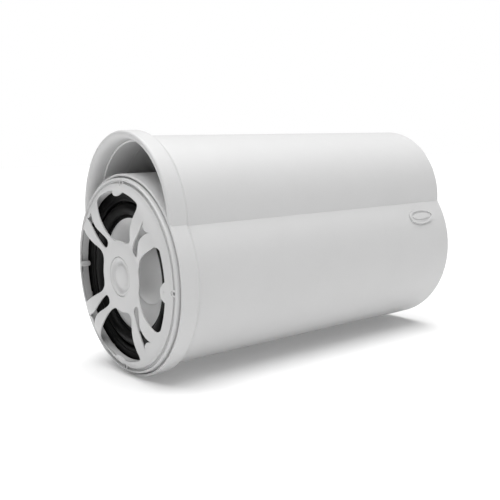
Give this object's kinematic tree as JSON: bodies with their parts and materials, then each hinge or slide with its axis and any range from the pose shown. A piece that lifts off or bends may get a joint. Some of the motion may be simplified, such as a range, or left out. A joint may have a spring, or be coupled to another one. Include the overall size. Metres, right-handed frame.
{
  "type": "subwoofer",
  "caption": "White two-lobed tube subwoofer with a spoked grille over its driver and a crescent port mouth above it.",
  "frame": {"origin": "on the ground plane, under the middle of the tube's overall box", "axes": "+Y from the grille to the rear, +Z from the driver's lobe to the port's lobe, +X to the right of someone facing the grille"},
  "size_m": [0.307, 0.608, 0.371],
  "materials": {
    "white_shell": "fine-grained white ABS",
    "white_grille": "satin white ABS",
    "grey_cone": "light grey moulded polypropylene",
    "black_plastic": "black moulded ABS",
    "red_plastic": "red moulded ABS",
    "black_frame": "black powder coat on cast aluminium",
    "black_rubber": "black rubber",
    "stainless": "stainless steel",
    "plated_steel": "zinc-plated steel",
    "brass": "machined brass",
    "ferrite": "sintered ferrite",
    "copper_coil": "enamelled copper wire",
    "coil_former": "thin aluminium tube",
    "spider_cloth": "resin-treated cotton",
    "felt": "grey acoustic felt",
    "wire_red": "red PVC insulation",
    "wire_black": "black PVC insulation"
  },
  "bodies": {
    "enclosure": {"enclosure_shell": "white_shell", "side_badge": "white_shell", "port_throat": "white_shell", "port_duct": "white_shell", "baffle": "black_plastic", "grille": "white_grille", "hub_badge": "white_grille", "grille_screws": "stainless", "grille_inserts": "brass", "driver_gasket": "black_rubber", "driver_screws": "stainless", "driver_inserts": "brass", "basket": "black_frame", "trim_gasket": "black_rubber", "surround": "black_rubber", "spider": "spider_cloth", "tinsel_leads": "brass", "tag_strip": "black_plastic", "top_plate": "plated_steel", "magnet": "ferrite", "pole_plate": "plated_steel", "magnet_boot": "black_rubber", "inner_wire_red": "wire_red", "inner_wire_black": "wire_black", "rear_cap": "white_shell", "rear_seal": "black_rubber", "rear_cap_screws": "stainless", "damping_pad": "felt", "terminal_cup": "black_plastic", "cup_seal": "black_rubber", "cup_screws": "stainless", "terminal_block": "black_plastic", "terminal_contacts": "brass", "terminal_spring_red": "stainless", "terminal_spring_black": "stainless"},
    "cone_assembly": {"cone": "grey_cone", "dust_cap": "grey_cone", "voice_coil_former": "coil_former", "voice_coil": "copper_coil"},
    "button_red": {"terminal_button_red": "red_plastic"},
    "button_black": {"terminal_button_black": "black_plastic"}
  },
  "joints": [
    {"name": "cone_travel", "type": "slide", "parent": "enclosure", "child": "cone_assembly", "axis": [0, -1, 0], "range_m": [-0.009, 0.009], "stiffness_N_per_m": 4500, "deforming": ["surround", "spider", "tinsel_leads"]},
    {"name": "button_red_press", "type": "slide", "parent": "enclosure", "child": "button_red", "axis": [0, -1, 0], "range_m": [0, 0.0038], "stiffness_N_per_m": 300, "springref_m": -0.008, "deforming": ["terminal_spring_red"]},
    {"name": "button_black_press", "type": "slide", "parent": "enclosure", "child": "button_black", "axis": [0, -1, 0], "range_m": [0, 0.0038], "stiffness_N_per_m": 300, "springref_m": -0.008, "deforming": ["terminal_spring_black"]}
  ]
}
